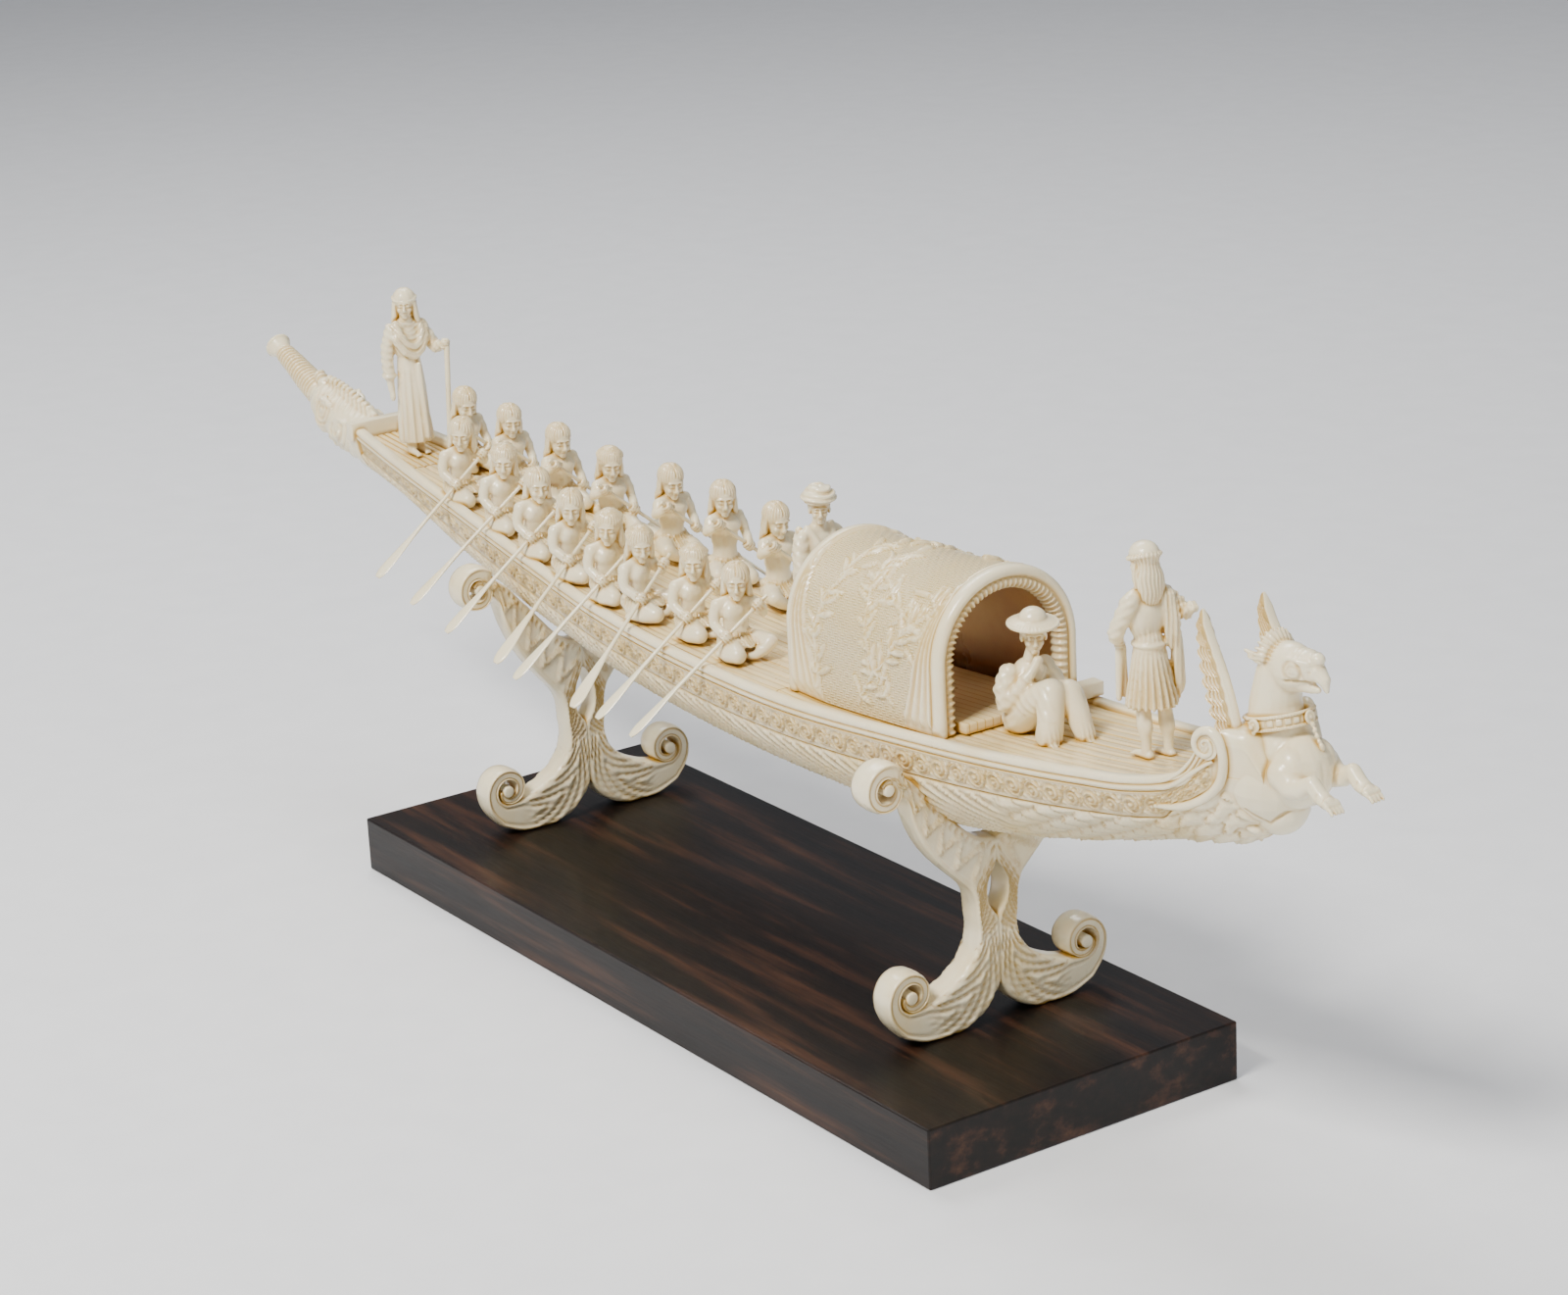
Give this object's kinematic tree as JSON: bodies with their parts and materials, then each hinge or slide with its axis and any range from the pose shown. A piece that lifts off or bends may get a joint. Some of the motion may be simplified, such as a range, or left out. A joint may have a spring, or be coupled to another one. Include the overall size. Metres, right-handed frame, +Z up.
{
  "type": "carved model ceremonial barge on stand",
  "caption": "Carved model of a rowed ceremonial barge with a vaulted cabin, a winged beast at the prow and a trunked head at the stern, on two scrolled trestles over a wooden plinth.",
  "frame": {"origin": "centre of the plinth's underside", "axes": "+X towards the bow, +Z up, +Y to port, the side away from the viewer in the picture"},
  "size_m": [0.5515, 0.1116, 0.1716],
  "materials": {
    "ivory": "polished cream carving with yellowed hollows",
    "dark_wood": "semi-gloss near-black wood"
  },
  "bodies": {
    "root": {"plinth": "dark_wood", "hull": "ivory", "stern_mat": "ivory", "rowers_deck": "ivory", "foredeck": "ivory", "transom_band": "ivory", "trestle_bow": "ivory", "trestle_stern": "ivory", "cabin_shell": "ivory", "cabin_back_arch": "ivory", "cabin_front_arch": "ivory", "cabin_floor": "ivory", "sill_block": "ivory", "rower_near_1": "ivory", "rower_near_2": "ivory", "rower_near_3": "ivory", "rower_near_4": "ivory", "rower_near_5": "ivory", "rower_near_6": "ivory", "rower_near_7": "ivory", "rower_near_8": "ivory", "paddle_near_1": "ivory", "paddle_near_2": "ivory", "paddle_near_3": "ivory", "paddle_near_4": "ivory", "paddle_near_5": "ivory", "paddle_near_6": "ivory", "paddle_near_7": "ivory", "paddle_near_8": "ivory", "rower_far_1": "ivory", "rower_far_2": "ivory", "rower_far_3": "ivory", "rower_far_4": "ivory", "rower_far_5": "ivory", "rower_far_6": "ivory", "rower_far_7": "ivory", "paddle_far_1": "ivory", "paddle_far_2": "ivory", "paddle_far_3": "ivory", "paddle_far_4": "ivory", "paddle_far_5": "ivory", "paddle_far_6": "ivory", "paddle_far_7": "ivory", "helmsman": "ivory", "steering_pole": "ivory", "lookout": "ivory", "passenger": "ivory", "attendant": "ivory", "prow_beast": "ivory", "beast_collar": "ivory", "wing_near": "ivory", "wing_far": "ivory", "stern_head": "ivory"}
  },
  "joints": []
}
